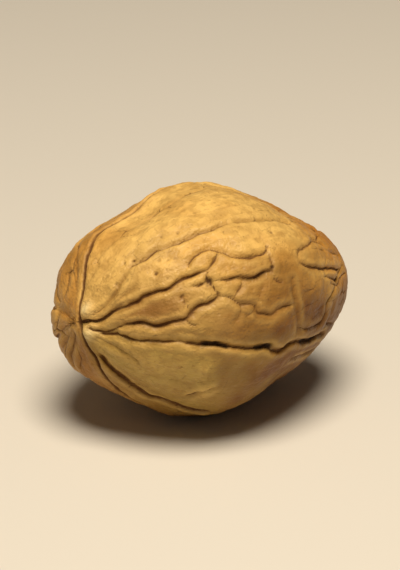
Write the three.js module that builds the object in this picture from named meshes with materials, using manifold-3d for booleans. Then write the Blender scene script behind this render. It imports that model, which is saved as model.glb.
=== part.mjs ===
// A whole walnut in its shell, lying on its side. Millimetres, +Z up.
//
// The nut's own axis runs along X, with its pointed tip at -X and its stem end, the base, at +X. The two
// halves of the shell meet in a raised seam, which goes round the nut from end to end. The seam stands nearly
// upright, leans back, away from -Y, and bows a little towards the back. The nut grew as one piece, so it is
// one closed solid.
//
// Places on the shell are given as two angles in degrees, as latitude and longitude are on a globe:
//   along: 0 at the tip, 90 at the widest part, 180 at the base.
//   round: 0 at the top, near the upper seam, 90 on the middle of the front cheek, 180 at the bottom, near the
//     lower seam, and 270 on the back cheek.
import * as THREE from "three";
import { mergeVertices } from "three/addons/utils/BufferGeometryUtils.js";
import Module from "manifold-3d";

// The form.
const LENGTH = 43.0; // tip to base, without the point
const CHEEK_WIDTH = 36.6; // across the two cheeks
const SEAM_WIDTH = 31.2; // across the seam, without its ridge
const TIP_FULLNESS = 0.075; // the tip end is fuller than the base end by this share each way
const END_TAPER = 0.19; // share of the width that both ends lose towards the axis
const TIP_BLUNTNESS = 0.79; // exponent of the outline's sine at the tip; a smaller one is blunter
const BASE_BLUNTNESS = 0.62;
const POINT_HEIGHT = 0.9; // the small beak at the tip
const POINT_SPREAD = 9; // degrees along
const SCAR_DEPTH = 0.7; // the dimple where the stem held the base
const SCAR_SPREAD = 12; // degrees along

// The seam.
const RIDGE_HEIGHT = 0.6; // how far the seam's raised band stands proud
const RIDGE_HALF_WIDTH = 2.3;
const SEAM_DEPTH = 0.7; // the line where the two halves meet
const SEAM_HALF_WIDTH = 0.6;
const RIDGE_START = 50; // degrees from either end where the ridge fades in
const RIDGE_FADE = 22;
const SEAM_BOW = 2.2; // how far the seam bows to the back at the nut's middle; the front half is the larger
const BOW_GROWS = [14, 54]; // degrees along
const BOW_FADES = [90, 175];
const LINE_AT_ENDS = 0.4; // share of the line's depth that is left where the ridge has faded out

// How the nut lies.
const SEAM_LEAN = 20; // degrees by which the seam leans back from upright
const TIP_LIFT = 5.5; // degrees by which the tip is higher than the base
const RESTING_CUT = 0.32; // height of shell worn flat where the nut rests

// The mesh.
const STATIONS = 49; // rings from tip to base
const SECTORS = 80; // faces round each ring
const SEAM_CROWDING = 0.55; // 0 spaces the faces evenly round the ring, 1 crowds them all at the seam
const FURROW_STEPS = 60; // points along each furrow
const WELD = 1e-4; // vertices nearer than this are one

// Broad swellings and hollows of the shell: along, round, height, spread in mm.
const SWELLINGS = [
  [62, 0, -1.8, 6],
  [38, 335, 0.8, 6],
  [24, 238, 1.3, 6],
  [28, 300, 0.5, 6],
  [30, 200, 0.5, 5],
  [48, 184, -0.5, 7],
  [76, 158, 1.3, 7],
  [92, 196, 0.6, 6],
  [98, 150, -0.6, 6],
  [120, 140, -0.4, 8],
  [122, 30, -1.9, 7],
  [60, 60, 0.3, 6],
  [118, 60, 0.3, 6],
  [70, 252, -0.4, 7],
  [108, 238, 0.4, 7],
  [95, 295, 0.4, 8],
  [140, 260, -0.4, 7],
];

// The main furrows: depth, half width in mm, then the route as along, round pairs.
const FURROWS = [
  [0.5, 1.3, [[18, 50], [35, 47], [55, 45], [75, 43], [95, 42]]],
  [0.55, 1.0, [[6, 75], [20, 76], [35, 72], [52, 71], [60, 78], [72, 85]]],
  [0.45, 1.0, [[6, 118], [20, 108], [38, 99], [46, 98], [60, 86], [80, 93], [95, 98]]],
  [0.6, 1.1, [[14, 125], [35, 115], [60, 110], [90, 110], [110, 108], [125, 118]]],
  [0.5, 1.1, [[24, 168], [40, 164], [60, 165], [80, 166]]],
  [0.4, 1.2, [[60, 58], [78, 60], [92, 60], [98, 72]]],
  [0.4, 1.1, [[112, 62], [122, 72], [140, 74]]],
  [0.45, 1.1, [[8, 200], [24, 205], [42, 208], [62, 205]]],
  [0.45, 1.1, [[122, 204], [138, 200], [156, 202]]],
  [0.5, 1.3, [[6, 222], [28, 226], [55, 231], [85, 228], [115, 232], [150, 226]]],
  [0.5, 1.2, [[6, 246], [30, 252], [50, 250], [80, 258], [110, 254]]],
  [0.5, 1.3, [[8, 272], [30, 276], [58, 284], [90, 280], [120, 286], [150, 280]]],
  [0.5, 1.2, [[6, 298], [30, 302], [60, 306], [88, 304]]],
  [0.45, 1.2, [[8, 322], [32, 330], [62, 334], [95, 330], [130, 334]]],
  [0.4, 1.2, [[95, 132], [120, 140], [150, 132]]],
  [0.4, 1.2, [[100, 14], [125, 22], [150, 16]]],
];

const radians = THREE.MathUtils.degToRad;
const degrees = THREE.MathUtils.radToDeg;
const { smoothstep } = THREE.MathUtils;
const bell = (distance, width) => Math.exp(-((distance / width) ** 2));

// How far to the back the seam lies where the along angle is this.
const seamBow = (along) => SEAM_BOW * smoothstep(along, ...BOW_GROWS) * (1 - smoothstep(along, ...BOW_FADES));

// The outline from tip to base, as the lathe wants it: x is the radius, y the height along the axis.
class ShellOutline extends THREE.Curve {
  getPoint(t, target = new THREE.Vector2()) {
    const along = Math.PI * t;
    const lean = Math.cos(along);
    const bluntness = THREE.MathUtils.lerp(TIP_BLUNTNESS, BASE_BLUNTNESS, (1 - lean) / 2);
    const share = Math.sin(along) ** bluntness * (1 + TIP_FULLNESS * lean - END_TAPER * lean ** 2);
    const onAxis = t <= 0 || t >= 1;
    return target.set(onAxis ? 0 : (share * CHEEK_WIDTH) / 2, (-lean * LENGTH) / 2);
  }
}

// The along angle of the plain form's points at one place on the nut's axis.
function alongAt(x) {
  return degrees(Math.acos(THREE.MathUtils.clamp(-x / (LENGTH / 2), -1, 1)));
}

// The plain form with no relief: a turned body, squeezed to the narrower width across the seam.
// In its own frame the nut's axis is X, the upper seam is +Z and the front cheek is -Y.
function plainForm() {
  const outline = new ShellOutline();
  outline.arcLengthDivisions = 2000;
  const form = new THREE.LatheGeometry(outline.getSpacedPoints(STATIONS), SECTORS);
  form.deleteAttribute("normal");
  form.deleteAttribute("uv");
  form.rotateZ(-Math.PI / 2);
  const place = form.getAttribute("position");
  for (let i = 0; i < place.count; i++) {
    const radius = Math.hypot(place.getY(i), place.getZ(i));
    const turned = Math.atan2(-place.getY(i), place.getZ(i));
    const toSeam = radius > WELD ? (seamBow(alongAt(place.getX(i))) / radius) * Math.cos(turned) : 0;
    const round = turned - (SEAM_CROWDING * Math.sin(2 * turned)) / 2 - toSeam;
    const squeeze = SEAM_WIDTH / CHEEK_WIDTH;
    place.setXYZ(i, place.getX(i), -radius * Math.sin(round), radius * squeeze * Math.cos(round));
  }
  return mergeVertices(form, WELD);
}

// The point of the plain form at two angles.
function pointAt(along, round) {
  const onOutline = new ShellOutline().getPoint(along / 180);
  return new THREE.Vector3(
    onOutline.y,
    -onOutline.x * Math.sin(radians(round)),
    ((onOutline.x * SEAM_WIDTH) / CHEEK_WIDTH) * Math.cos(radians(round)),
  );
}

// The seam's raised band, with the line of the joint along its middle.
function seamRelief(point, along) {
  const fromSeam = Math.abs(point.y - seamBow(along));
  const nearestEnd = Math.min(along, 180 - along);
  const grown = smoothstep(nearestEnd, RIDGE_START - RIDGE_FADE, RIDGE_START + RIDGE_FADE);
  return (
    grown * RIDGE_HEIGHT * bell(fromSeam, RIDGE_HALF_WIDTH) -
    THREE.MathUtils.lerp(LINE_AT_ENDS, 1, grown) * SEAM_DEPTH * bell(fromSeam, SEAM_HALF_WIDTH)
  );
}

// Each furrow as a smooth line of closely spaced points on the plain form.
const furrowLines = FURROWS.map(([depth, halfWidth, route]) => ({
  depth,
  halfWidth,
  points: new THREE.CatmullRomCurve3(route.map(([a, r]) => pointAt(a, r))).getSpacedPoints(FURROW_STEPS),
}));

function furrowRelief(point) {
  let deepest = 0;
  for (const { depth, halfWidth, points } of furrowLines) {
    const nearest = Math.min(...points.map((p) => p.distanceToSquared(point)));
    deepest = Math.max(deepest, depth * bell(Math.sqrt(nearest), halfWidth));
  }
  return -deepest;
}

const swellings = SWELLINGS.map(([along, round, height, spread]) => ({
  middle: pointAt(along, round),
  height,
  spread,
}));

function swellingRelief(point) {
  return swellings.reduce((sum, s) => sum + s.height * bell(s.middle.distanceTo(point), s.spread), 0);
}

// The relief is laid on along the plain form's outward direction.
function outwardAt(point) {
  return new THREE.Vector3(
    point.x / LENGTH ** 2,
    point.y / CHEEK_WIDTH ** 2,
    point.z / SEAM_WIDTH ** 2,
  ).normalize();
}

function shellForm() {
  const form = plainForm();
  const place = form.getAttribute("position");
  const point = new THREE.Vector3();
  for (let i = 0; i < place.count; i++) {
    point.fromBufferAttribute(place, i);
    const along = alongAt(point.x);
    const relief = seamRelief(point, along) + furrowRelief(point) + swellingRelief(point);
    const ends = SCAR_DEPTH * bell(180 - along, SCAR_SPREAD) + POINT_HEIGHT * bell(along, POINT_SPREAD);
    const moved = point.clone().addScaledVector(outwardAt(point), relief);
    place.setXYZ(i, moved.x - ends, moved.y, moved.z);
  }
  form.rotateX(-radians(SEAM_LEAN));
  form.rotateY(radians(TIP_LIFT));
  return form;
}

const wasm = await Module();
wasm.setup();

function asSolid(geometry) {
  const bare = geometry.clone();
  bare.deleteAttribute("normal");
  bare.deleteAttribute("uv");
  const merged = mergeVertices(bare, WELD);
  return new wasm.Manifold(
    new wasm.Mesh({
      numProp: 3,
      vertProperties: merged.getAttribute("position").array,
      triVerts: new Uint32Array(merged.index.array),
    }),
  );
}

function asGeometry(solid) {
  const mesh = solid.getMesh();
  const geometry = new THREE.BufferGeometry();
  geometry.setAttribute("position", new THREE.BufferAttribute(mesh.vertProperties, 3));
  geometry.setIndex(new THREE.BufferAttribute(mesh.triVerts, 1));
  geometry.computeVertexNormals();
  return geometry;
}

// Takes off the lowest part of the shell, which leaves the small flat spot that the nut rests on.
function wornFlat(geometry) {
  geometry.computeBoundingBox();
  const { min } = geometry.boundingBox;
  const below = new THREE.BoxGeometry(2 * LENGTH, 2 * LENGTH, LENGTH);
  below.translate(0, 0, min.z + RESTING_CUT - LENGTH / 2);
  return asGeometry(asSolid(geometry).subtract(asSolid(below)));
}

function walnutGeometry() {
  const geometry = wornFlat(shellForm());
  geometry.computeBoundingBox();
  const { min, max } = geometry.boundingBox;
  geometry.translate(-(min.x + max.x) / 2, -(min.y + max.y) / 2, -min.z);
  return geometry;
}

const shellMaterial = new THREE.MeshStandardMaterial({ color: "#c39253", roughness: 0.6, metalness: 0 });
const walnut = new THREE.Mesh(walnutGeometry(), shellMaterial);
walnut.name = "walnut";

const part = new THREE.Group();
part.add(walnut);
export default part;
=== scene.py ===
"""A whole walnut in its shell, lying on its side, with a plain studio round it.

The nut's own axis runs along X before it is laid down, with its pointed tip at -X and its stem end, the
base, at +X. Places on the shell are two angles in degrees, as latitude and longitude are on a globe:
  along: 0 at the tip, 90 at the widest part, 180 at the base.
  round: 0 at the top, 90 on the middle of the front cheek, 180 at the bottom, 270 on the back cheek.
"""

import functools
import itertools
from typing import NamedTuple

import bmesh
import bpy
import numpy as np
from bpy.props import FloatProperty, FloatVectorProperty, IntProperty, PointerProperty
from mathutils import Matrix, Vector, kdtree


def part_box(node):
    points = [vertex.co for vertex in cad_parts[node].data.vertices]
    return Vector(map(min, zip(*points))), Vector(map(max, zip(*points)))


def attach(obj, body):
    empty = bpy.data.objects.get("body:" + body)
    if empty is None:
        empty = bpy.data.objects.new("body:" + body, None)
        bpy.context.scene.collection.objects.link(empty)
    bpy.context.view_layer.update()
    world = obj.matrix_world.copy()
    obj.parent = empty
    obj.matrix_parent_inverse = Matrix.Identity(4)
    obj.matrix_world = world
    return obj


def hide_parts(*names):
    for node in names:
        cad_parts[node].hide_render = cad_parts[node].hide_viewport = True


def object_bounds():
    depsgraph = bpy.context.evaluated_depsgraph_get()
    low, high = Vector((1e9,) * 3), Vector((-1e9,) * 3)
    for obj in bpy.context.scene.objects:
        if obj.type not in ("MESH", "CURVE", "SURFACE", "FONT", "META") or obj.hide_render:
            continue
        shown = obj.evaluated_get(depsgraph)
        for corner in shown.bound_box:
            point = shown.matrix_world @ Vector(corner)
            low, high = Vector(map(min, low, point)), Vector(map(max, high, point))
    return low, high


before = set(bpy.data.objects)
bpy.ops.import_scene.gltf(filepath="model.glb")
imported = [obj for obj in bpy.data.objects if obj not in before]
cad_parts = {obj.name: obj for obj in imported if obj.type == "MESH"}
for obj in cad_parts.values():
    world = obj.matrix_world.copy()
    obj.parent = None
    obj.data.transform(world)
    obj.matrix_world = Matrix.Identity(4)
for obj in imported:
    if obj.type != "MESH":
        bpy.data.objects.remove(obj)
CAD_BOX = [list(corner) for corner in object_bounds()]

bl_info = {
    "name": "Walnut in its shell",
    "version": (1, 0, 0),
    "blender": (4, 5, 0),
    "location": "3D View > Sidebar > Walnut",
    "description": "Models a whole walnut round its packed part, with a finish for the shell and a studio",
    "category": "Add Mesh",
}

MM = 0.001
PICTURE_WIDTH, PICTURE_HEIGHT = 400, 570
PIECE = "whole_walnut"


# ---- What is placed on the shell one by one ----

# Broad swellings and hollows: along, round, height in mm, spread in mm. Their places and spreads were
# chosen one by one. Their heights come from a fit to the nut's outline, except those of the two small bumps
# in the last line.
SWELLINGS = [
    (62, 0, -1.8, 6), (38, 335, 0.8, 6), (24, 238, 1.3, 6), (28, 300, 0.5, 6), (30, 200, 0.5, 5),
    (48, 184, -0.5, 7), (76, 158, 1.3, 7), (92, 196, 0.6, 6), (98, 150, -0.6, 6), (120, 140, -0.4, 8),
    (122, 30, -1.9, 7), (60, 60, 0.3, 6), (118, 60, 0.3, 6), (70, 252, -0.4, 7), (108, 238, 0.4, 7),
    (95, 295, 0.4, 8), (140, 260, -0.4, 7),
    (57, 131, 0.40, 1.4), (61, 143, 0.42, 1.4),
]


class Furrow(NamedTuple):
    """A groove between two pads of the shell. Sizes in mm."""

    crease: float  # depth of the narrow groove
    valley: float  # depth of the broad hollow that the groove runs in
    lip: float  # how far the pad on the left of the route, seen from outside, stands above the other
    route: tuple  # along, round, along, round and so on
    gape: float = 0.23  # half width of the narrow groove
    width: float = 1.0  # half width of the hollow
    ends: float = 0.75  # share of the depth that is left at its ends, but not at the tip


FURROWS = [
    # The long soft furrow high on the front cheek.
    Furrow(0.12, 0.5, 0, (6, 68, 17, 56, 26, 49, 34, 44), width=1.3, ends=0.2),
    Furrow(0.08, 0.3, 0, (6, 84, 14, 72, 24, 64, 33, 60), width=1.2, ends=0.2),
    Furrow(0.32, 0.61, -0.15, (33, 43, 39, 43, 42, 43, 46, 43, 50, 45, 57, 47, 63, 47, 70, 48,
           77, 47), width=1.5),
    Furrow(0.24, 0.41, -0.1, (77, 47, 83, 48, 89, 49, 95, 49, 100, 50, 109, 50), width=1.4),
    # From the tip along the middle of the front cheek, and round the small pad that it meets.
    Furrow(0.39, 0.47, 0.1, (1, 95, 6, 93, 11, 83, 16, 78, 23, 75, 28, 75, 32, 73, 36, 73, 40, 74, 44, 73,
           47, 71, 50, 70, 53, 70, 56, 70, 59, 70), gape=0.24),
    Furrow(0.35, 0.27, 0, (59, 70, 61, 68, 63, 66, 65, 64, 66, 62)),
    Furrow(0.4, 0.34, -0.15, (53, 64, 54, 62, 56, 60, 59, 59, 63, 59, 66, 61, 68, 63, 70, 66, 73, 68,
           76, 69, 80, 69, 83, 69, 85, 68, 87, 65)),
    Furrow(0.4, 0.34, 0, (59, 70, 58, 73, 58, 77, 59, 82, 60, 86)),
    Furrow(0.33, 0.2, 0, (58, 77, 54, 78, 51, 77)),
    # The next one down, from below the tip.
    Furrow(0.27, 0.35, 0, (4, 128, 9, 122, 13, 113, 16, 106, 20, 99)),
    Furrow(0.35, 0.47, 0.05, (20, 99, 25, 99, 30, 100, 34, 101, 36, 100, 43, 98, 46, 97, 49, 93, 51, 90,
           57, 88, 60, 86), gape=0.24),
    Furrow(0.3, 0.27, 0, (60, 86, 64, 88, 66, 90, 68, 92, 72, 93, 74, 95, 75, 99, 78, 100, 81, 101, 84, 99,
           87, 98, 92, 98)),
    Furrow(0.28, 0.2, 0, (46, 82, 47, 85, 48, 89, 49, 93)),
    Furrow(0.35, 0.14, 0, (46, 97, 48, 100, 50, 101)),
    # Between the small flat pads in the middle.
    Furrow(0.3, 0.2, 0, (71, 79, 70, 83, 68, 86, 66, 89)),
    Furrow(0.22, 0.16, 0, (79, 86, 76, 90, 75, 93, 74, 95)),
    Furrow(0.24, 0.16, 0, (66, 90, 68, 93, 68, 96, 67, 99, 66, 101)),
    Furrow(0.22, 0.16, 0, (68, 96, 71, 99, 73, 97, 74, 95)),
    Furrow(0.3, 0.27, 0.2, (60, 77, 65, 78, 70, 78, 73, 80)),
    Furrow(0.42, 0.34, 0.3, (71, 79, 73, 80, 77, 80, 80, 79, 84, 79), gape=0.29),
    Furrow(0.37, 0.27, 0.15, (85, 68, 85, 72, 85, 75, 85, 79)),
    Furrow(0.35, 0.14, 0, (85, 83, 86, 84, 88, 85), gape=0.29),
    Furrow(0.26, 0.14, 0, (84, 62, 87, 66, 91, 69), ends=0.2),
    Furrow(0.24, 0.14, 0, (88, 60, 91, 64, 95, 68), ends=0.2),
    Furrow(0.2, 0.14, 0, (88, 72, 92, 71, 95, 73), ends=0.2),
    # The long dark furrow low on the cheek, which gapes in three places.
    Furrow(0.3, 0.41, -0.05, (9, 126, 15, 118, 22, 119, 28, 117, 33, 115, 38, 114, 44, 113)),
    Furrow(0.4, 0.47, -0.2, (44, 113, 49, 114, 53, 115, 58, 115, 61, 115, 65, 116, 68, 117, 71, 118,
           75, 118, 78, 118, 82, 119, 84, 121, 89, 122, 93, 121, 98, 121, 103, 123, 106, 124, 114, 126,
           121, 128), gape=0.24),
    Furrow(0.75, 0.14, 0, (54, 115, 57, 115, 60, 115, 63, 116), gape=0.3),
    Furrow(0.75, 0.14, 0, (76, 118, 78, 118, 80, 118, 83, 119), gape=0.32),
    Furrow(0.72, 0.14, 0, (101, 122, 104, 123, 108, 125, 113, 126), gape=0.29),
    # Below it.
    Furrow(0.33, 0.41, 0.15, (57, 157, 60, 152, 62, 145, 66, 139), gape=0.24, ends=0.2),
    Furrow(0.42, 0.36, -0.32, (13, 168, 18, 170, 24, 170, 29, 170, 34, 171, 39, 173, 44, 174, 49, 173,
           54, 171, 57, 171, 65, 169, 76, 166), gape=0.25, ends=0.2),
    Furrow(0.12, 0.27, 0, (8, 140, 16, 136, 26, 138, 34, 142), ends=0.2),
    # The base end of the front cheek.
    Furrow(0.39, 0.27, 0.1, (99, 77, 103, 79, 106, 81, 110, 82, 118, 83, 127, 84,
           136, 85), gape=0.24, ends=0.2),
    Furrow(0.28, 0.2, 0, (100, 77, 101, 72, 105, 70, 111, 67, 116, 65, 124, 66)),
    Furrow(0.16, 0.3, 0, (93, 85, 93, 92, 94, 98, 95, 105, 96, 111, 97, 118)),
    Furrow(0.28, 0.2, 0, (96, 112, 101, 114, 106, 115, 112, 115, 115, 111, 115, 105, 118, 101, 123, 95)),
    Furrow(0.3, 0.14, 0, (119, 92, 123, 94, 127, 95, 132, 92)),
    # Over the back cheek, the lowest first.
    Furrow(0.2, 0.4, 0, (6, 222, 14, 221, 24, 219, 42, 212, 62, 205), ends=0.2),
    Furrow(0.35, 0.45, 0, (122, 204, 138, 200, 156, 202), ends=0.2),
    Furrow(0.5, 0.5, 0.15, (34, 228, 55, 231, 85, 228, 115, 232, 150, 226), width=1.3, ends=0.2),
    Furrow(0.15, 0.3, 0, (8, 238, 18, 236, 28, 237, 38, 234), ends=0.2),
    Furrow(0.15, 0.3, -0.15, (2, 264, 8, 258, 18, 254), width=1.2),
    Furrow(0.4, 0.35, -0.15, (17, 254, 30, 252, 50, 250, 80, 258, 110, 254), width=1.2),
    Furrow(0.15, 0.3, 0.2, (2, 290, 10, 290, 21, 286), width=1.2),
    Furrow(0.45, 0.35, 0.2, (20, 286, 32, 283, 58, 284, 90, 280, 120, 286, 150, 280), width=1.2),
    Furrow(0.45, 0.5, 0, (36, 303, 60, 306, 88, 304), width=1.2, ends=0.2),
    Furrow(0.1, 0.2, 0, (12, 343, 22, 345, 34, 342), ends=0.2),
    Furrow(0.45, 0.45, 0.15, (40, 331, 62, 334, 95, 330, 130, 334), width=1.2, ends=0.2),
    # Towards the base.
    Furrow(0.3, 0.4, 0, (95, 132, 120, 140, 150, 132), width=1.2, ends=0.2),
    Furrow(0.3, 0.4, 0, (100, 14, 125, 22, 150, 16), width=1.2, ends=0.2),
]

# Small dark pits: along, round, depth in mm, spread in mm.
PITS = [
    (40, 59, 0.3, 0.45), (36, 39, 0.28, 0.5), (46, 82, 0.3, 0.45), (58, 77, 0.4, 0.4), (85, 77, 0.4, 0.4),
    (47, 55, 0.18, 0.45), (15, 118, 0.25, 0.4), (92, 58, 0.2, 0.6), (70, 240, 0.4, 0.6),
    (23, 47, 0.15, 0.6), (28, 53, 0.13, 0.55), (33, 36, 0.14, 0.6), (52, 37, 0.13, 0.7),
    (58, 41, 0.14, 0.6), (100, 282, 0.45, 0.7), (46, 305, 0.3, 0.5), (118, 228, 0.35, 0.6),
    (54, 171, 0.3, 0.5),
]

# The two pale beads at the tip, beside the furrow that leaves it: along, round, height in mm, spread in mm.
BEADS = [(5, 40, 0.65, 0.95), (5, 145, 0.55, 0.95)]

# Patches of browner shell, or paler where below 0: along, round, share of brown, spread in mm.
PATCHES = [
    (28, 88, 0.75, 4), (44, 86, 0.6, 4), (76, 74, 0.4, 2.2), (62, 126, 0.35, 4), (66, 142, 0.3, 4),
    (74, 92, 0.4, 4), (90, 84, 0.5, 4), (100, 98, 0.6, 4), (108, 76, 0.3, 2.5), (60, 106, 0.45, 4),
    (86, 110, 0.45, 4), (110, 118, 0.35, 5), (58, 80, -0.2, 2), (50, 50, -0.3, 5), (74, 56, -0.4, 4),
    (82, 32, -0.4, 6), (102, 46, -0.5, 5), (24, 122, -0.2, 3), (40, 136, -0.3, 5), (70, 102, 0.25, 3),
    (57, 130, -0.6, 1.5), (61, 142, -0.6, 1.5), (18, 76, 0.25, 2.5), (66, 52, 0.25, 2),
    (40, 118, 0.25, 2.5), (50, 152, 0.35, 3), (78, 140, 0.35, 4), (92, 132, 0.4, 3.5), (34, 160, 0.25, 3),
]


# ---- Sizes and colours ----

def linear(hex_colour):
    """An sRGB hex colour as the linear red, green, blue and alpha that Blender works in."""
    shares = [int(hex_colour[i:i + 2], 16) / 255 for i in (1, 3, 5)]
    return (*[s / 12.92 if s <= 0.04045 else ((s + 0.055) / 1.055) ** 2.4 for s in shares], 1.0)


def size(name, description, default):
    """A length in metres, given here in millimetres."""
    return FloatProperty(name=name, description=description, default=default * MM, unit="LENGTH", precision=5)


def angle(name, description, default):
    """An angle in radians, given here in degrees."""
    return FloatProperty(name=name, description=description, default=np.radians(default), subtype="ANGLE")


def share(name, description, default):
    """A plain number."""
    return FloatProperty(name=name, description=description, default=default)


def colour(name, description, default):
    """A colour, given here as an sRGB hex value."""
    return FloatVectorProperty(
        name=name, description=description, default=linear(default), size=4, subtype="COLOR", min=0, max=1
    )


class WalnutForm(bpy.types.PropertyGroup):
    """The nut's plain form and how it lies, as the packed part has them."""

    length: size("Length", "Tip to base, without the point", 43.0)
    cheek_width: size("Cheek width", "Across the two cheeks", 36.6)
    seam_width: size("Seam width", "Across the seam, without its ridge", 31.2)
    tip_fullness: share("Tip fullness", "Share by which the tip end is fuller than the base end", 0.075)
    end_taper: share("End taper", "Share of the width that both ends lose towards the axis", 0.19)
    tip_bluntness: share("Tip bluntness", "Exponent of the outline's sine at the tip", 0.79)
    base_bluntness: share("Base bluntness", "Exponent of the outline's sine at the base", 0.62)
    point_height: size("Point height", "The small beak at the tip", 0.9)
    point_spread: angle("Point spread", "How far along the beak reaches", 9)
    scar_depth: size("Scar depth", "The dimple where the stem held the base", 0.7)
    scar_spread: angle("Scar spread", "How far along the dimple reaches", 12)
    seam_bow: size("Seam bow", "How far the seam bows to the back at the nut's middle", 2.2)
    seam_lean: angle("Seam lean", "How far the seam leans back from upright", 20)
    tip_lift: angle("Tip lift", "How much higher the tip is than the base", 5.5)
    resting_cut: size("Resting cut", "Height of shell worn flat where the nut rests", 0.32)
    segments: IntProperty(name="Segments", description="Faces round each ring of the cage", default=56)
    rings: IntProperty(name="Rings", description="Faces of the cage from tip to base", default=27)
    levels: IntProperty(name="Levels", description="Times that the cage is subdivided", default=3)


class WalnutRelief(bpy.types.PropertyGroup):
    """The relief of the shell."""

    ridge_height: size("Ridge height", "How far the seam's raised band stands proud", 0.6)
    ridge_half_width: size("Ridge half width", "From the seam's middle to the band's shoulder", 2.3)
    ridge_start: angle("Ridge start", "Where the ridge is half grown, from either end", 50)
    ridge_fade: angle("Ridge fade", "How far either side of that the ridge fades", 22)
    line_depth: size("Line depth", "Depth of the line where the two halves meet", 0.60)
    line_half_width: size("Line half width", "Half width of that line", 0.27)
    seam_lip_height: size("Seam lip height", "How far the shell rises beside that line", 0.16)
    seam_lip_reach: size("Seam lip reach", "From the line to the middle of such a lip", 0.75)
    seam_lip_width: size("Seam lip width", "Half width of such a lip", 0.40)
    crease_half_width: size("Crease half width", "Half width of the narrow groove between two pads", 0.29)
    lip_reach: size("Lip reach", "How far from a furrow its raised side reaches", 1.8)
    rim_height: size("Rim height", "How far the pads' rims stand proud beside a furrow", 0.13)
    rim_reach: size("Rim reach", "From a furrow to the rims beside it", 0.85)
    rim_width: size("Rim width", "Half width of such a rim", 0.45)
    cell: size("Pad width", "Distance between the seeds of the pads", 4.6)
    cell_stretch: share("Pad stretch", "How many times longer than wide a pad is", 1.9)
    cell_crease: size("Pad crease", "Depth of the narrow groove between two pads", 0.50)
    cell_valley: size("Pad valley", "Depth of the broad hollow between two pads", 0.35)
    cell_valley_width: size("Pad valley width", "Half width of that hollow", 0.9)
    wrinkle_cell: size("Wrinkle width", "Distance between the seeds of the small wrinkles", 2.3)
    wrinkle_depth: size("Wrinkle depth", "Depth of the small wrinkles", 0.16)
    lump_height: size("Lump height", "Height of the soft lumps", 0.22)
    lump_length: size("Lump length", "From one soft lump to the next", 7.0)
    ripple_height: size("Ripple height", "Height of the fine unevenness", 0.085)
    ripple_length: size("Ripple length", "From one fine lump to the next", 1.9)
    seed: IntProperty(name="Seed", description="Start of the random draws", default=7)


class WalnutFinish(bpy.types.PropertyGroup):
    """The colours of the shell, with painted shade and painted highlights among them."""

    tan: colour("Tan", "The shell's main colour", "#ca9c50")
    straw: colour("Straw", "Paler patches", "#e0b86a")
    # Olive is a greyer tint low on the cheek, and also painted shade there, darker than the tan.
    olive_and_painted_shade: colour("Olive", "Greyer patches low on the cheek", "#ac9148")
    russet: colour("Russet", "The warmer base end and the back half", "#ae6e1c")
    # Umber paints shade on the low base end and the underside, and colours the browner patches.
    patch_and_painted_shade_umber: colour("Umber", "The brownest shell, low at the base end", "#6e3f10")
    streak: colour("Streak", "Fine streaks from tip to base", "#a0743a")
    # Valley colours the freckles, and is painted shade in the broad hollows and the dents, with a browner
    # shell there.
    valley: colour("Valley", "Browner shell in the hollows", "#866029")
    # Furrow is the dark husk in the grooves, and also painted shade in the narrow creases.
    furrow: colour("Furrow", "Dark remains of the husk in the furrows", "#583413")
    # Painted shadow: nearly black where a groove gapes or a pit sinks, for the dark inside the gap.
    painted_gap_shadow: colour("Pit", "The darkest husk, where a furrow gapes", "#150b05")
    # Tip is the beads' pale shell with a painted highlight on them.
    tip: colour("Tip", "The pale beads at the tip", "#e6d19a")
    pad_tone: share("Pad tone", "How far the pads differ from each other in brightness", 0.22)
    roughness: share("Roughness", "Of the smooth pads", 0.48)
    ior: share("IOR", "Of the waxy, woody surface", 1.45)
    gloss: share("Gloss", "Half of it is a clean surface's reflection; dust takes some away", 0.32)


class WalnutStudio(bpy.types.PropertyGroup):
    """The camera, the lights and the floor."""

    azimuth: angle("Azimuth", "The camera's bearing round the nut", -39.8)
    elevation: angle("Elevation", "The camera's height above the horizon", 22.8)
    distance: size("Distance", "From the camera to the nut's middle", 520.0)
    frame_width: size("Frame width", "Width of the picture at the nut", 56.0)
    aim_rise: size("Aim rise", "How far above the nut's middle the camera aims", 2.0)
    floor_colour: colour("Floor", "The pale floor", "#d4d1cb")
    key_power: FloatProperty(name="Key light", description="Its power", default=4.3, unit="POWER")
    fill_power: FloatProperty(name="Fill light", description="Its power", default=0.13, unit="POWER")
    sky: share("Sky", "Strength of the pale light from all round", 0.07)


# ---- The plain form ----

BOW_GROWS = (14, 54)  # degrees along
BOW_FADES = (90, 175)
NEAR = 1e-4  # places nearer than this share of the ball's radius are the same
PARKED = 3.0  # in ball radii
LUMPS_PER_CELL = 1.6  # gradient noise has a lump about every 1.6 cells
NOISE_GAIN = 1.6  # brings it from about -0.6 to 0.6 up to -1 to 1
CREASE_SHARPNESS = 1.4  # exponent of a crease's section: 2 is as round as a bell


def smoothstep(value, start, end):
    """0 below start, 1 above end, and smooth between them."""
    t = np.clip((value - start) / (end - start), 0, 1)
    return t * t * (3 - 2 * t)


def bell(distance, width):
    """1 at no distance, falling off smoothly over width."""
    return np.exp(-((distance / width) ** 2))


def cusp(distance, width):
    """1 at no distance, falling off as a sharp crease with soft shoulders does."""
    return np.exp(-((np.abs(distance) / width) ** CREASE_SHARPNESS))


def window(value, rise, fade):
    """0 below rise and above fade, and 1 between them. Both are where a smooth step starts and ends."""
    return smoothstep(value, *rise) * (1 - smoothstep(value, *fade))


def grown_from(start, growth):
    """From start where growth is 0, up to 1 where it is 1."""
    return start + (1 - start) * growth


def outline(form, along):
    """Place on the axis and radius across the cheeks of the plain form, at an angle in radians."""
    lean = np.cos(along)
    bluntness = form.tip_bluntness + (form.base_bluntness - form.tip_bluntness) * (1 - lean) / 2
    fullness = 1 + form.tip_fullness * lean - form.end_taper * lean ** 2
    return -lean * form.length / 2, np.sin(along).clip(0) ** bluntness * fullness * form.cheek_width / 2


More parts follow.
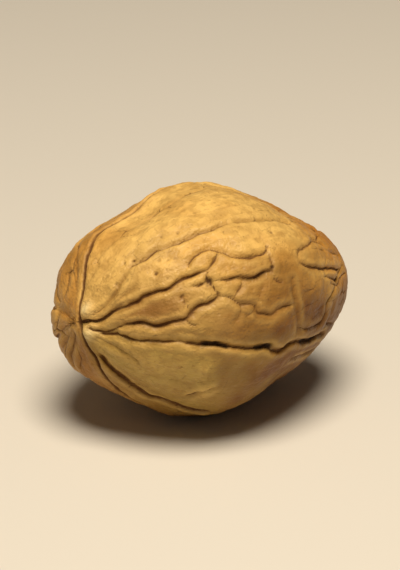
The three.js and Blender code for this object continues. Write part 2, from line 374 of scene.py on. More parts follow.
def on_form(form, along, around):
    """Points of the plain form at two angles in degrees."""
    along, around = np.radians(along), np.radians(around)
    x, radius = outline(form, along)
    squeeze = form.seam_width / form.cheek_width
    return np.stack([x, -radius * np.sin(around), radius * squeeze * np.cos(around)], axis=-1)


def angles_of(form, points):
    """The two angles, in degrees, of points on the plain form."""
    along = np.degrees(np.arccos(np.clip(-points[:, 0] / (form.length / 2), -1, 1)))
    around = np.degrees(np.arctan2(-points[:, 1] / form.cheek_width, points[:, 2] / form.seam_width))
    return along, around % 360


def seam_bow(form, along):
    """How far to the back the seam lies at these angles in degrees."""
    return form.seam_bow * window(along, BOW_GROWS, BOW_FADES)


def walked_along(places):
    """How far along the line through these rows of coordinates each of them lies."""
    return np.concatenate([[0], np.cumsum(np.linalg.norm(np.diff(places, axis=0), axis=1))])


def outline_walk(form, count):
    """Angles in radians from tip to base, and how far along the outline each of them lies."""
    along = np.linspace(0, np.pi, count)
    return along, walked_along(np.stack(outline(form, along), axis=1))


def even_stations(form):
    """The rings' angles in radians, spaced evenly along the outline from tip to base."""
    along, walked = outline_walk(form, count=2001)
    return np.interp(np.linspace(0, walked[-1], form.rings + 1), walked, along)


def points_of(piece):
    """The piece's vertices as rows of x, y, z."""
    found = np.empty(len(piece.data.vertices) * 3)
    piece.data.vertices.foreach_get("co", found)
    return found.reshape(-1, 3)


def select_only(piece):
    bpy.ops.object.select_all(action="DESELECT")
    piece.select_set(True)
    bpy.context.view_layer.objects.active = piece


def select_vertices(piece, wanted):
    """In edit mode, selects just the vertices whose place passes the test."""
    cage = bmesh.from_edit_mesh(piece.data)
    for vertex in cage.verts:
        vertex.select_set(wanted(vertex.co))
    cage.select_flush_mode()
    bmesh.update_edit_mesh(piece.data)


def add_cage(form):
    """A ball turned into the nut's outline ring by ring, then subdivided."""
    bpy.ops.object.select_all(action="DESELECT")
    bpy.ops.mesh.primitive_uv_sphere_add(
        segments=form.segments, ring_count=form.rings, radius=1, rotation=(0, -np.pi / 2, 0)
    )
    nut = bpy.context.object
    nut.name = nut.data.name = PIECE
    bpy.ops.object.transform_apply(location=True, rotation=True, scale=True)
    bpy.ops.object.mode_set(mode="EDIT")
    bpy.ops.mesh.select_mode(type="VERT")
    for ring, along in enumerate(even_stations(form)):
        was = np.pi * ring / form.rings
        x, radius = outline(form, along)
        select_vertices(nut, lambda place: abs(place.x + np.cos(was)) < NEAR)
        if 0 < ring < form.rings:
            wide = radius / np.sin(was)
            tall = wide * form.seam_width / form.cheek_width
            bpy.ops.transform.resize(value=(1, wide, tall), center_override=(-np.cos(was), 0, 0))
        # A ring that is done is parked beside the ball, out of the next rings' way.
        bpy.ops.transform.translate(value=(x + np.cos(was) + PARKED, 0, 0))
    bpy.ops.mesh.select_all(action="SELECT")
    bpy.ops.transform.translate(value=(-PARKED, 0, 0))
    bpy.ops.object.mode_set(mode="OBJECT")
    smooth = nut.modifiers.new("rounding", "SUBSURF")
    smooth.levels = smooth.render_levels = form.levels
    bpy.ops.object.modifier_apply(modifier=smooth.name)
    return nut


# ---- The relief ----

# How a line strays, coarsely and then finely: mm from lump to lump, mm that it strays, step of the seed.
LINE_STRAYS = ((5.0, 0.30, 0), (1.4, 0.10, 3))
PAD_STRAYS = ((3.2, 0.30, 0), (1.1, 0.10, 5))  # in pad widths instead of mm
ROUTE_STEP = 0.1  # share of the way from one pair of a route to the next
LINE_SPACING = 0.15 * MM
FURROW_REACH = 5 * MM
TAPER = 1.5 * MM  # from a furrow's end to where it is in full
AT_TIP = 10  # degrees along; furrows that start before this have no taper there
LIP_STEP = 0.35 * MM  # from a furrow to where the pad beside it is in full
FAINTNESS = 0.75  # how far the weakest groove is from dark
DARK_WIDTH = 1.1  # a groove's dark line, in half widths of the groove
FULL_CREASE = 0.35  # mm; creases this deep are darkest
GAPING_CREASE = 0.7  # mm; deeper creases gape
FULL_VALLEY = 0.4  # mm; valleys this deep have their colour and their rims in full
BLACK_PIT = (0.3, 0.5)  # mm deep, from not black to black
CANDIDATES = 15000  # places drawn for seeds
SEED_SPACING = 0.8  # least gap between seeds, in pad widths
SEEDS_READ = 6  # for each vertex: its own seed and the next ones
BORDER_GROWS = (0.15, 0.85)  # a border's random number where it starts to show and where it is in full
CROSSWISE_LOSS = 0.45  # share that a border across the nut loses
TONE_EDGE = 1.2 * MM  # from a pad's border to where its own tone is in full
NARROWEST = 0.05  # least share that the ends' narrowing counts
TINY = 1e-9
LISTED_ROUND = ((12, 26), (158, 172))  # degrees that the listed furrows cover
LISTED_ENDS = (100, 124)


def outward(form, points):
    """The plain form's outward direction at these points."""
    direction = points / np.array([form.length, form.cheek_width, form.seam_width]) ** 2
    return direction / np.linalg.norm(direction, axis=1, keepdims=True)


def noise_field(points, length, seed, octaves=1):
    """Smooth random numbers from about -1 to 1 (gradient noise). length is the distance between two lumps."""
    draws = np.random.default_rng(seed)
    order = draws.permutation(256)
    leanings = draws.normal(size=(256, 3))
    leanings /= np.linalg.norm(leanings, axis=1, keepdims=True)
    place = points * (LUMPS_PER_CELL / length) + draws.random(3)
    found, share_left = 0, 1.0
    for _ in range(octaves):
        cell = np.floor(place).astype(int)
        inside = place - cell
        fade = inside ** 3 * (inside * (inside * 6 - 15) + 10)
        for corner in itertools.product((0, 1), repeat=3):
            x, y, z = ((cell + corner) & 255).T
            leaning = leanings[order[(order[(order[x] + y) & 255] + z) & 255]]
            weight = np.where(corner, fade, 1 - fade).prod(axis=1)
            found = found + share_left * weight * ((inside - corner) * leaning).sum(axis=1)
        place, share_left = 2.03 * place + 11.7, share_left / 2
    return NOISE_GAIN * found


def warped(points, length, reach, seed):
    """The points pushed about at random by up to about reach."""
    shifts = [noise_field(points, length, seed + 40 * axis) for axis in range(3)]
    return points + reach * np.stack(shifts, axis=1)


def strayed(points, unit, strays, seed):
    """The points pushed about by each of these strays in turn, with its sizes in this unit."""
    for length, reach, step in strays:
        points = warped(points, length * unit, reach * unit, seed + step)
    return points


def smooth_route(route, step):
    """A route as a smooth line (Catmull-Rom) of closely spaced along, round pairs."""
    knots = np.array(route, float).reshape(-1, 2)
    ends = 2 * knots[0] - knots[1], 2 * knots[-1] - knots[-2]
    knots = np.vstack([ends[0], knots, ends[1]])
    found = []
    for a, b, c, d in zip(knots, knots[1:], knots[2:], knots[3:]):
        bend = 2 * a - 5 * b + 4 * c - d
        twist = 3 * b - a - 3 * c + d
        for t in np.arange(0, 1, step):
            found.append((2 * b + (c - a) * t + bend * t ** 2 + twist * t ** 3) / 2)
    return np.array([*found, knots[-2]])


def tree_of(places):
    """A search tree that finds the nearest of these places."""
    tree = kdtree.KDTree(len(places))
    for i, place in enumerate(places):
        tree.insert(place, i)
    tree.balance()
    return tree


def nearest_on(line, points, reach):
    """How far each point is from the line's nearest place, and that place's number. Points out of reach
    get ten times the reach and number 0."""
    tree = tree_of(line)
    distance = np.full(len(points), 10 * reach)
    number = np.zeros(len(points), int)
    low, high = line.min(axis=0) - reach, line.max(axis=0) + reach
    for i in np.flatnonzero(((points > low) & (points < high)).all(axis=1)):
        _, number[i], distance[i] = tree.find(points[i])
    return distance, number


class Relief:
    """The heights of the shell's relief over the plain form, and the masks that its finish reads.

    Every field is worked out on the plain form, one number for each vertex. Heights are in metres.
    """

    def __init__(self, form, relief, points):
        self.form, self.relief, self.points = form, relief, points
        self.along, self.round = angles_of(form, points)
        self.outward = outward(form, points)
        self.clear = np.full(len(points), 9.0)  # 0 in the middle of a dark groove, 1 and more clear of it
        self.deep = np.zeros(len(points))  # 1 where a groove gapes or a pit sinks, which the finish paints nearly black as shadow in the gap
        self.valley = np.zeros(len(points))  # 0 to 1, how deep in a broad hollow, where the finish paints shade
        # Lines are drawn a little unsteadily along the shell, as on the real one, but never off it.
        pushed = strayed(points, MM, LINE_STRAYS, relief.seed)
        off = np.einsum("ij,ij->i", pushed - points, self.outward)
        self.unsteady = pushed - off[:, None] * self.outward

    def darken(self, distance, half_width, strength=1.0):
        """Marks the grooves at this distance as dark, with husk and painted crease shade: those at full
        strength are darkest.
        """
        clear = distance / half_width + FAINTNESS * (1 - strength)
        self.clear = np.minimum(self.clear, clear if clear.ndim == 1 else clear.min(axis=1))

    def spots(self, places):
        """The sum of round spots: along, round, amount, spread in mm."""
        found = np.zeros(len(self.points))
        for along, around, amount, spread in places:
            middle = on_form(self.form, along, around)
            found += amount * bell(np.linalg.norm(self.points - middle, axis=1), spread * MM)
        return found

    def wandering(self, length, step, middle=0, swing=1):
        """Random numbers about the middle by up to about swing, with length mm from one lump to the next."""
        return middle + swing * noise_field(self.points, length * MM, self.relief.seed + step)

    def clear_of_seam(self, start, end):
        """0 up to start mm from the seam's line, and 1 from end mm on."""
        return smoothstep(self.from_seam, start * MM, end * MM)

    def lumps(self):
        relief = self.relief
        return relief.lump_height * noise_field(self.points, relief.lump_length, relief.seed + 1, octaves=2)

    def ripples(self):
        relief = self.relief
        calm = grown_from(0.35, smoothstep(self.wandering(9, 2), -0.4, 0.5))
        fine = noise_field(self.points, relief.ripple_length, relief.seed + 5, octaves=2)
        return relief.ripple_height * calm * fine

    def seam(self):
        """The raised band, and apart from it the line along its middle."""
        relief = self.relief
        along = np.radians(self.along)
        from_seam = self.unsteady[:, 1] - seam_bow(self.form, self.along)
        self.from_seam = np.abs(from_seam)
        start, fade = relief.ridge_start, relief.ridge_fade
        grown = smoothstep(np.minimum(along, np.pi - along), start - fade, start + fade)
        band = grown * relief.ridge_height * bell(from_seam, relief.ridge_half_width)
        lips = bell(self.from_seam - relief.seam_lip_reach, relief.seam_lip_width)
        lips *= relief.seam_lip_height * grown_from(0.3, grown)
        line = cusp(from_seam, relief.line_half_width)
        self.darken(self.from_seam, 1.4 * relief.line_half_width)
        return band + lips, -line * relief.line_depth * grown_from(0.75, grown)

    def furrows(self):
        """The furrows listed above: the creases, the valleys, and the raised pads and rims beside them."""
        relief = self.relief
        creases, valleys, lips, rims = (np.zeros(len(self.points)) for _ in range(4))
        uneven = self.wandering(3.5, 50, middle=0.92, swing=0.16)
        for furrow in FURROWS:
            angles = smooth_route(furrow.route, ROUTE_STEP)
            line = on_form(self.form, angles[:, 0], angles[:, 1])
            walked = walked_along(line)
            even = np.arange(0, walked[-1], LINE_SPACING)
            line = np.stack([np.interp(even, walked, line[:, axis]) for axis in range(3)], axis=1)
            distance, number = nearest_on(line, self.unsteady, FURROW_REACH)
            from_start = even[number] + (TAPER if furrow.route[0] < AT_TIP else 0)
            from_end = np.minimum(from_start, walked[-1] - even[number])
            taper = grown_from(furrow.ends, smoothstep(from_end, 0, TAPER))
            heading = np.gradient(line, axis=0)
            left = np.cross(self.outward, heading[number])
            side = np.einsum("ij,ij->i", left, self.unsteady - line[number])
            side /= np.linalg.norm(left, axis=1) * LIP_STEP
            held = taper * uneven
            gape = furrow.gape * MM
            creases = np.minimum(creases, -furrow.crease * MM * held * cusp(distance, gape))
            hollow = taper * np.exp(-distance / (furrow.width * MM))
            valleys = np.minimum(valleys, -furrow.valley * MM * hollow)
            lips += furrow.lip * MM * taper * np.tanh(side) * np.exp(-distance / relief.lip_reach)
            rim = taper * bell(distance - relief.rim_reach, relief.rim_width)
            rims = np.maximum(rims, furrow.valley / FULL_VALLEY * rim)
            self.darken(distance, DARK_WIDTH * gape, held * min(1, furrow.crease / FULL_CREASE))
            self.deep = np.maximum(self.deep, bell(distance, 0.9 * gape) * (furrow.crease > GAPING_CREASE))
            self.valley = np.maximum(self.valley, hollow ** 2 * furrow.valley / FULL_VALLEY)
        # The rims are raised, and the finish also paints a highlight on them.
        self.rim = rims * self.wandering(3.0, 60, middle=0.6, swing=0.4).clip(0, 1)
        return creases, valleys, lips + relief.rim_height * self.rim

    def pits(self):
        heights = np.zeros(len(self.points))
        for along, around, depth, spread in PITS:
            distance = np.linalg.norm(self.unsteady - on_form(self.form, along, around), axis=1)
            hole = bell(distance, spread * MM)
            heights = np.minimum(heights, -depth * MM * hole)
            self.darken(distance, 1.3 * spread * MM, depth / 0.45)
            self.deep = np.maximum(self.deep, hole * smoothstep(depth, *BLACK_PIT))
        return heights

    def unrolled(self, points):
        """The points as on a shell laid out so that pads are equally wide all along it, and how far that
        narrows them."""
        form = self.form
        stations, walked = outline_walk(form, count=721)
        along = np.interp(np.radians(angles_of(form, points)[0]), stations, walked)
        girth = np.linalg.norm(points[:, 1:], axis=1)
        widest = form.cheek_width / 2
        spread = np.sqrt(girth * widest).clip(TINY)
        across = points[:, 1:] / girth.clip(TINY)[:, None] * spread[:, None]
        return np.column_stack([along, across]), (girth / spread).clip(NARROWEST)

    def cells(self, width, stretch, seed):
        """Pads with seeds drawn at random: the distance to each vertex's nearest borders, in metres on the
        shell, those borders' own strengths, and the pad's own random number, from -0.5 to 0.5 and 0 at its
        borders."""
        def laid_out_at(points):
            laid_out, narrowing = self.unrolled(points)
            return strayed(laid_out / [stretch, 1, 1], width, PAD_STRAYS, seed), narrowing

        laid_out, narrowing = laid_out_at(self.points)
        # The seeds are drawn on the plain form and not from the mesh, whose last digits differ from run to
        # run. A seed takes the places near it out of the draw.
        draws = np.random.default_rng(seed)
        along = np.degrees(np.arccos(draws.uniform(-1, 1, CANDIDATES)))
        free, _ = laid_out_at(on_form(self.form, along, draws.uniform(0, 360, CANDIDATES)))
        seeds = []
        while len(free):
            seeds.append(free[0])
            free = free[np.sum((free - free[0]) ** 2, axis=1) > (SEED_SPACING * width) ** 2]
        seeds = np.array(seeds)
        tree = tree_of(seeds)
        near = [tree.find_n(place, SEEDS_READ) for place in laid_out]
        number = np.array([[found[1] for found in row] for row in near])
        distance = np.array([[found[2] for found in row] for row in near])
        own, others = number[:, :1], number[:, 1:]
        across = seeds[others] - seeds[own]
        gap = np.linalg.norm(across, axis=2)
        border = (distance[:, 1:] ** 2 - distance[:, :1] ** 2) / (2 * gap)
        across /= gap[:, :, None]
        lengthwise = (across[:, :, 0] / stretch) ** 2
        crosswise = (across[:, :, 1:] ** 2).sum(axis=2) / narrowing[:, None] ** 2
        border = border / np.sqrt(lengthwise + crosswise)
        strengths = draws.random((len(seeds), len(seeds)))
        pair = np.sort(np.stack([np.broadcast_to(own, others.shape), others], axis=2), axis=2)
        strength = smoothstep(strengths[pair[:, :, 0], pair[:, :, 1]], *BORDER_GROWS)
        strength = strength * (1 - CROSSWISE_LOSS * np.abs(across[:, :, 0]))
        tone = draws.random(len(seeds))[own[:, 0]] - 0.5
        return border, strength, tone * smoothstep(border.min(axis=1), 0, TONE_EDGE)

    def covered(self):
        """1 where the listed furrows cover the shell, 0 elsewhere."""
        return window(self.round, *LISTED_ROUND) * (1 - smoothstep(self.along, *LISTED_ENDS))

    def pads(self):
        """The grooves between pads over the rest of the shell: creases and valleys."""
        relief = self.relief
        border, strength, self.tone = self.cells(relief.cell, relief.cell_stretch, relief.seed + 11)
        broken = self.wandering(6, 21, middle=0.60, swing=0.55)[:, None]
        free = (1 - 0.92 * self.covered()) * smoothstep(self.along, 6, 20)
        strength = strength * broken.clip(0, 1) * (free * self.clear_of_seam(1.2, 3.0))[:, None]
        crease = (strength * cusp(border, relief.crease_half_width)).max(axis=1)
        valley = (strength * np.exp(-border / relief.cell_valley_width)).max(axis=1)
        self.darken(border, DARK_WIDTH * relief.crease_half_width, strength)
        self.valley = np.maximum(self.valley, valley * 0.8)
        return -relief.cell_crease * crease, -relief.cell_valley * valley

    def wrinkles(self):
        """Small shallow wrinkles, more of them towards the base."""
        relief = self.relief
        border, strength, _ = self.cells(relief.wrinkle_cell, 1.35, relief.seed + 31)
        patchy = smoothstep(self.wandering(10, 33), -0.25, 0.45)
        grown = grown_from(0.25, smoothstep(self.along, 70, 135))
        grown = grown * smoothstep(self.along, 12, 35)
        strength = strength * (patchy * grown * self.clear_of_seam(0.8, 2.0))[:, None]
        crease = (strength * cusp(border, 0.8 * relief.crease_half_width)).max(axis=1)
        soft = (strength * bell(border, 0.6 * MM)).max(axis=1)
        self.darken(border, DARK_WIDTH * relief.crease_half_width, 0.65 * strength)
        self.valley = np.maximum(self.valley, 0.35 * soft)
        return -relief.wrinkle_depth * (0.5 * crease + 0.5 * soft)


def displace(piece, name, heights):
    """Raises the piece's surface by each vertex's height, or sinks it where that is below 0."""
    for half, sign in (("raised", 1), ("sunk", -1)):
        part = (heights * sign).clip(0)
        reach = part.max()
        if reach < 1e-7:
            continue
        group = piece.vertex_groups.new(name=f"{name}_{half}")
        for i in np.flatnonzero(part > reach * 1e-4):
            group.add((int(i),), float(part[i] / reach), "REPLACE")
        move = piece.modifiers.new(group.name, "DISPLACE")
        move.vertex_group = group.name
        move.strength = reach * sign
        move.mid_level = 0
        bpy.ops.object.modifier_apply(modifier=move.name)
        piece.vertex_groups.remove(piece.vertex_groups[f"{name}_{half}"])


def paint(piece, name, values):
    """A number for each vertex, which the finish reads."""
    layer = piece.data.attributes.new(name, "FLOAT", "POINT")
    layer.data.foreach_set("value", values.astype(np.float32))


def shape_ends(nut, form, along):
    """Pulls out the beak at the tip and presses in the scar at the base."""
    along = np.radians(along)
    scar = form.scar_depth * bell(np.pi - along, form.scar_spread)
    beak = form.point_height * bell(along, form.point_spread)
    points = points_of(nut)
    points[:, 0] -= scar + beak
    nut.data.vertices.foreach_set("co", points.ravel())
    nut.data.update()


def lay_down(nut, form):
    """Leans the seam back, lifts the tip, wears the resting spot flat and sets the nut in the packed
    one's place."""
    select_only(nut)
    nut.rotation_euler = (-form.seam_lean, form.tip_lift, 0)
    bpy.ops.object.transform_apply(location=False, rotation=True, scale=False)
    level = points_of(nut)[:, 2].min() + form.resting_cut
    bpy.ops.object.mode_set(mode="EDIT")
    select_vertices(nut, lambda place: place.z < level)
    bpy.ops.transform.resize(value=(1, 1, 0), center_override=(0, 0, level))
    bpy.ops.object.mode_set(mode="OBJECT")
    points = points_of(nut)
    low, high = points.min(axis=0), points.max(axis=0)
    cad_low, cad_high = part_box("walnut")
    middle = (low + high) / 2
    nut.location = (
        (cad_low.x + cad_high.x) / 2 - middle[0],
        (cad_low.y + cad_high.y) / 2 - middle[1],
        cad_low.z - level,
    )
    bpy.ops.object.transform_apply(location=True, rotation=False, scale=False)


# ---- The finish ----

def add_node(tree, kind, inputs=(), output=0, **settings):
    """Adds a node with its settings and its inputs, and gives one of its outputs. An input is a value or
    another node's output."""
    made = tree.nodes.new(f"ShaderNode{kind}")
    for name, value in settings.items():
        setattr(made, name, value)
    for name, value in dict(inputs).items():
        if isinstance(value, bpy.types.NodeSocket):
            tree.links.new(value, made.inputs[name])
        else:
            made.inputs[name].default_value = value
    return None if output is None else made.outputs[output]


def new_material(name):
    """A material with an empty node tree, and the function that adds nodes to it."""
    material = bpy.data.materials.new(name)
    material.use_nodes = True
    material.node_tree.nodes.clear()
    return material, functools.partial(add_node, material.node_tree)


COLOUR = 2  # a Mix node's colour output; its colour inputs are 6 and 7
MASKS = ("clear", "deep", "valley", "tone", "warmth", "painted_shade_and_patches", "pale", "olive_and_painted_shade", "tip", "rim")
GRAIN = "grain"
GRAIN_STRETCH = 7  # how many times longer than wide the streaks are
POLISH = 0.06  # how much smoother than the pads the least rubbed spots are


def dry_nutshell(finish):
    """Walnut shell: hard, dry, woody shell with a thin natural wax, so it is satin on the smooth pads and
    dull in the furrows, where dark husk is left. Its colour also paints shade into the creases, hollows,
    dents, gaping grooves, low cheek, low base end and underside, and highlights onto the pads' rims and the
    tip's beads. Fine streaks run from tip to base."""
    material, add = new_material("dry_nutshell")
    place = add("TexCoord", output="Object")
    mask = {
        name: add("Attribute", output="Fac", attribute_name=name)
        for name in MASKS
    }
    grain = add("Attribute", output="Vector", attribute_name=GRAIN)
    soft_step = functools.partial(add, "MapRange", interpolation_type="SMOOTHSTEP")

    # Natural unevenness as noise: where it is read, mm from lump to lump, octaves, and the part of it that
    # shows. The pores are drawn 0.35 mm apart. Real ones are finer, but wouldn't show.
    for name, where, spacing, detail, low, high in (
        ("patches", place, 9.0, 2, 0.36, 0.64),
        ("mottle", place, 2.6, 4, 0.42, 0.72),
        ("dents", place, 1.4, 2, 0.62, 0.36),
        ("freckles", place, 0.8, 1, 0.64, 0.76),
        ("pores", place, 0.35, 2, 0.30, 0.70),
        ("streaks", grain, 0.75, 3, 0.52, 0.76),
        ("fibres", grain, 0.55, 3, 0.30, 0.70),
        ("rubbed", place, 1.6, 3, 0.30, 0.70),
        ("husk_left", place, 4.0, 3, 0.28, 0.50),
    ):
        noise = add("TexNoise", {"Vector": where, "Scale": 1 / (spacing * MM), "Detail": detail})
        mask[name] = soft_step({"Value": noise, "From Min": low, "From Max": high})
    held = add("MapRange", {"Value": mask["husk_left"], "To Min": 0.70})
    # Husk left in the grooves, standing in too as painted shade in the creases.
    groove = soft_step({"Value": mask["clear"], "From Min": 1.0, "From Max": 0.4})
    mask["husk"] = add("Math", {0: groove, 1: held}, operation="MULTIPLY")

    # Each layer of colour covers the ones before it by its mask times its share.
    base = finish.tan
    for name, cover, layer in (
        ("patches", 1.00, finish.straw),
        ("mottle", 0.30, finish.streak),
        # Greyer tint and painted shade low on the front cheek.
        ("olive_and_painted_shade", 0.75, finish.olive_and_painted_shade),
        ("warmth", 0.85, finish.russet),
        # Painted shade on the low base end and the underside, with the browner patches, in umber.
        ("painted_shade_and_patches", 0.95, finish.patch_and_painted_shade_umber),
        ("pale", 1.00, finish.straw),
        ("streaks", 0.35, finish.streak),
        # Painted shade in the small dents that the bump sinks.
        ("dents", 0.30, finish.valley),
        ("freckles", 0.35, finish.valley),
        # The beads' pale shell and a painted highlight on them.
        ("tip", 1.00, finish.tip),
        # Painted shade in the broad hollows, partly browner shell.
        ("valley", 0.60, finish.valley),
        # Painted highlight on the pads' rims beside the furrows.
        ("rim", 0.55, finish.straw),
        # Dark husk and painted crease shade in the grooves.
        ("husk", 0.95, finish.furrow),
        # Painted shadow inside gaping grooves and pits.
        ("deep", 0.95, finish.painted_gap_shadow),
    ):
        factor = add("Math", {0: mask[name], 1: cover}, operation="MULTIPLY", use_clamp=True)
        base = add("Mix", {0: factor, 6: base, 7: layer}, output=COLOUR, data_type="RGBA")
    own_tone = add("Math", {0: mask["tone"], 1: finish.pad_tone, 2: 1.0}, operation="MULTIPLY_ADD")
    base = add("HueSaturation", {"Color": base, "Value": own_tone})

    # Satin wax, rubbed off here and there, and dull husk in the furrows.
    roughness = finish.roughness - POLISH
    for name, rise in (("rubbed", 0.15), ("husk", 0.35)):
        roughness = add(
            "Math", {0: mask[name], 1: rise, 2: roughness}, operation="MULTIPLY_ADD", use_clamp=True
        )

    # The finest relief, in mm: each mask times its height.
    height = 0.0
    for name, tall in (("dents", -0.06), ("fibres", 0.025), ("pores", 0.02), ("husk", -0.06)):
        height = add("Math", {0: mask[name], 1: tall, 2: height}, operation="MULTIPLY_ADD")
    bump = add("Bump", {"Strength": 1.0, "Distance": MM, "Height": height})
    surface = add("BsdfPrincipled", {
        "Base Color": base, "Roughness": roughness, "IOR": finish.ior, "Specular IOR Level": finish.gloss,
        "Normal": bump,
    })
    add("OutputMaterial", {"Surface": surface}, output=None)
    return material


def plain_paper(studio):
    """Matt studio paper: pale, rough and nearly even."""
    material, add = new_material("plain_paper")
    place = add("TexCoord", output="Object")
    fibres = add("TexNoise", {"Vector": place, "Scale": 1 / (3 * MM)})
    bump = add("Bump", {"Strength": 0.1, "Distance": 0.02 * MM, "Height": fibres})
    surface = add("BsdfPrincipled", {"Base Color": studio.floor_colour, "Roughness": 0.9, "Normal": bump})
    add("OutputMaterial", {"Surface": surface}, output=None)
    return material


# ---- The operators ----

class WALNUT_OT_shell(bpy.types.Operator):
    """Model the whole nut: its form, its relief and its finish"""

    bl_idname = "walnut.shell"
    bl_label = "Walnut"
    bl_options = {"REGISTER", "UNDO"}

    def execute(self, context):
        scene = context.scene
        form = scene.nut_form
        nut = add_cage(form)
        relief = Relief(form, scene.nut_relief, points_of(nut))
        band, line = relief.seam()
        creases, valleys, lips = relief.furrows()
        pad_creases, pad_valleys = relief.pads()
        displace(nut, "swellings", MM * relief.spots(SWELLINGS))
        displace(nut, "lumps", relief.lumps())
        displace(nut, "seam_band", band)
        displace(nut, "valleys", np.minimum(valleys, pad_valleys))
        displace(nut, "lips", lips + MM * relief.spots(BEADS))
        displace(nut, "ripples", relief.ripples())
        wrinkles = relief.wrinkles()
        narrow = np.minimum(np.minimum(creases, pad_creases), np.minimum(wrinkles, line))
        displace(nut, "creases", np.minimum(narrow, relief.pits()))
        shape_ends(nut, form, relief.along)
        self.paint(nut, relief)
        lay_down(nut, form)
        bpy.ops.object.shade_smooth()
        nut.data.materials.clear()
        nut.data.materials.append(dry_nutshell(scene.nut_finish))
        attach(nut, "root")
        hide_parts("walnut")
        return {"FINISHED"}

    @staticmethod
    def paint(nut, relief):
        """Gives the vertices the masks that the finish reads. The angles are in degrees."""
        along, around = relief.along, relief.round
        uneven = noise_field(relief.points, 8 * MM, 91, octaves=2)
        back = window(around, (182, 200), (345, 358))
        # Painted shade: the underside and the low base end are darkened as if in shadow.
        underside = window(around, (150, 180), (230, 270))
        low_base = smoothstep(along + 16 * uneven, 62, 112) * smoothstep(around + 10 * uneven, 78, 135)
        # Low on the front cheek: a greyer tint with painted shade.
        low_cheek = smoothstep(around + 14 * uneven, 82, 130) * (1 - smoothstep(around, 172, 190))
        painted_shade_and_patches = low_base * (1 - smoothstep(around, 190, 215)) + 0.50 * underside + relief.spots(PATCHES)
        values = {
            "clear": relief.clear.clip(0, 2),
            "deep": relief.deep,
            "valley": relief.valley.clip(0, 1),
            "tone": relief.tone,
            "warmth": (smoothstep(along + 22 * uneven, 94, 152) + 0.55 * back).clip(0, 1),
            "painted_shade_and_patches": painted_shade_and_patches.clip(0, 1),
            "pale": (-painted_shade_and_patches).clip(0, 1),
            "olive_and_painted_shade": (low_cheek * (1 - smoothstep(along, 90, 130))).clip(0, 1),
            "tip": relief.spots([(*bead[:2], 1.0, 0.9) for bead in BEADS]),
            "rim": relief.rim.clip(0, 1),
        }
        for name in MASKS:
            paint(nut, name, values[name])
        laid_out, _ = relief.unrolled(relief.points)
        layer = nut.data.attributes.new(GRAIN, "FLOAT_VECTOR", "POINT")
        layer.data.foreach_set("vector", (laid_out / [GRAIN_STRETCH, 1, 1]).astype(np.float32).ravel())


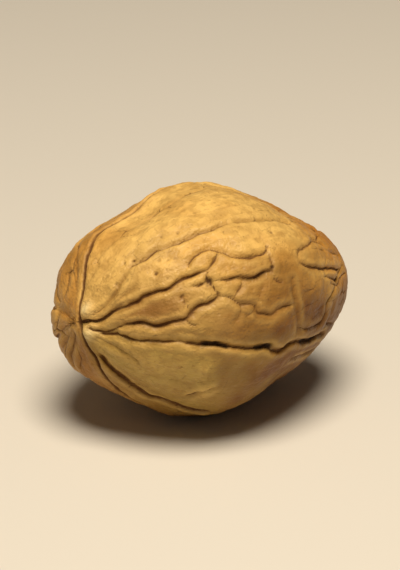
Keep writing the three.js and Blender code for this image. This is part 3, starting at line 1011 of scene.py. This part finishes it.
class WALNUT_OT_studio(bpy.types.Operator):
    """Set up the camera, the soft lights and the plain floor"""

    bl_idname = "walnut.studio"
    bl_label = "Studio"
    bl_options = {"REGISTER", "UNDO"}

    def execute(self, context):
        scene, studio = context.scene, context.scene.nut_studio
        low, high = (Vector(corner) for corner in CAD_BOX)
        middle = (low + high) / 2
        aim = middle + Vector((0, 0, studio.aim_rise))
        self.add_floor(studio, low.z)
        self.add_camera(scene, studio, aim)
        # Each light: its name, degrees to the right of the camera, degrees above the horizon, metres from
        # the nut, metres wide, power and colour.
        for name, right, up, distance, width, power, light_colour in (
            ("key", 6, 73, 0.55, 0.30, studio.key_power, "#fff0d8"),
            ("fill", -55, 30, 0.70, 0.50, studio.fill_power, "#ffe8cc"),
        ):
            towards = self.bearing_to(studio.azimuth + np.radians(right), np.radians(up))
            bpy.ops.object.light_add(type="AREA", location=middle + towards * distance)
            lamp = self.facing_back(name, towards)
            lamp.data.shape = "DISK"
            lamp.data.size = width
            lamp.data.energy = power
            lamp.data.color = linear(light_colour)[:3]
        world = bpy.data.worlds.new("studio_sky")
        world.use_nodes = True
        background = world.node_tree.nodes["Background"]
        background.inputs["Color"].default_value = linear("#ffe9cf")
        background.inputs["Strength"].default_value = studio.sky
        scene.world = world
        scene.view_settings.view_transform = "Standard"
        return {"FINISHED"}

    @staticmethod
    def add_floor(studio, level):
        bpy.ops.object.select_all(action="DESELECT")
        bpy.ops.mesh.primitive_plane_add(size=6, location=(0, 0, level))
        floor = bpy.context.object
        floor.name = floor.data.name = "floor"
        floor.data.materials.append(plain_paper(studio))

    @staticmethod
    def bearing_to(azimuth, elevation):
        """The direction from the nut that an azimuth and an elevation in radians give."""
        return Vector((
            np.sin(azimuth) * np.cos(elevation), -np.cos(azimuth) * np.cos(elevation), np.sin(elevation)
        ))

    @staticmethod
    def facing_back(name, towards):
        """Names the camera or light just added in this direction, and turns it back to the nut."""
        added = bpy.context.object
        added.name = added.data.name = name
        added.rotation_euler = (-towards).to_track_quat("-Z", "Y").to_euler()
        return added

    def add_camera(self, scene, studio, aim):
        towards = self.bearing_to(studio.azimuth, studio.elevation)
        bpy.ops.object.camera_add(location=aim + towards * studio.distance)
        camera = self.facing_back("camera", towards)
        tall = studio.frame_width * PICTURE_HEIGHT / PICTURE_WIDTH
        camera.data.lens = camera.data.sensor_width * studio.distance / tall
        camera.data.clip_start, camera.data.clip_end = 10 * MM, 100
        scene.camera = camera


class WALNUT_PT_panel(bpy.types.Panel):
    """The walnut's operators and its sizes and colours"""

    bl_idname = "WALNUT_PT_panel"
    bl_label = "Walnut"
    bl_space_type = "VIEW_3D"
    bl_region_type = "UI"
    bl_category = "Walnut"

    def draw(self, context):
        for operator in OPERATORS:
            self.layout.operator(operator.bl_idname)
        for name, kind in SETTINGS.items():
            box = self.layout.box()
            box.label(text=kind.__doc__)
            for prop in kind.__annotations__:
                box.prop(getattr(context.scene, name), prop)


SETTINGS = {
    "nut_form": WalnutForm,
    "nut_relief": WalnutRelief,
    "nut_finish": WalnutFinish,
    "nut_studio": WalnutStudio,
}
OPERATORS = (WALNUT_OT_shell, WALNUT_OT_studio)
CLASSES = (*SETTINGS.values(), *OPERATORS, WALNUT_PT_panel)


def register():
    for kind in CLASSES:
        bpy.utils.register_class(kind)
    for name, kind in SETTINGS.items():
        setattr(bpy.types.Scene, name, PointerProperty(type=kind))


def unregister():
    for name in SETTINGS:
        delattr(bpy.types.Scene, name)
    for kind in reversed(CLASSES):
        bpy.utils.unregister_class(kind)


def main():
    register()
    bpy.ops.walnut.shell()
    bpy.ops.walnut.studio()


if __name__ == "__main__":
    main()
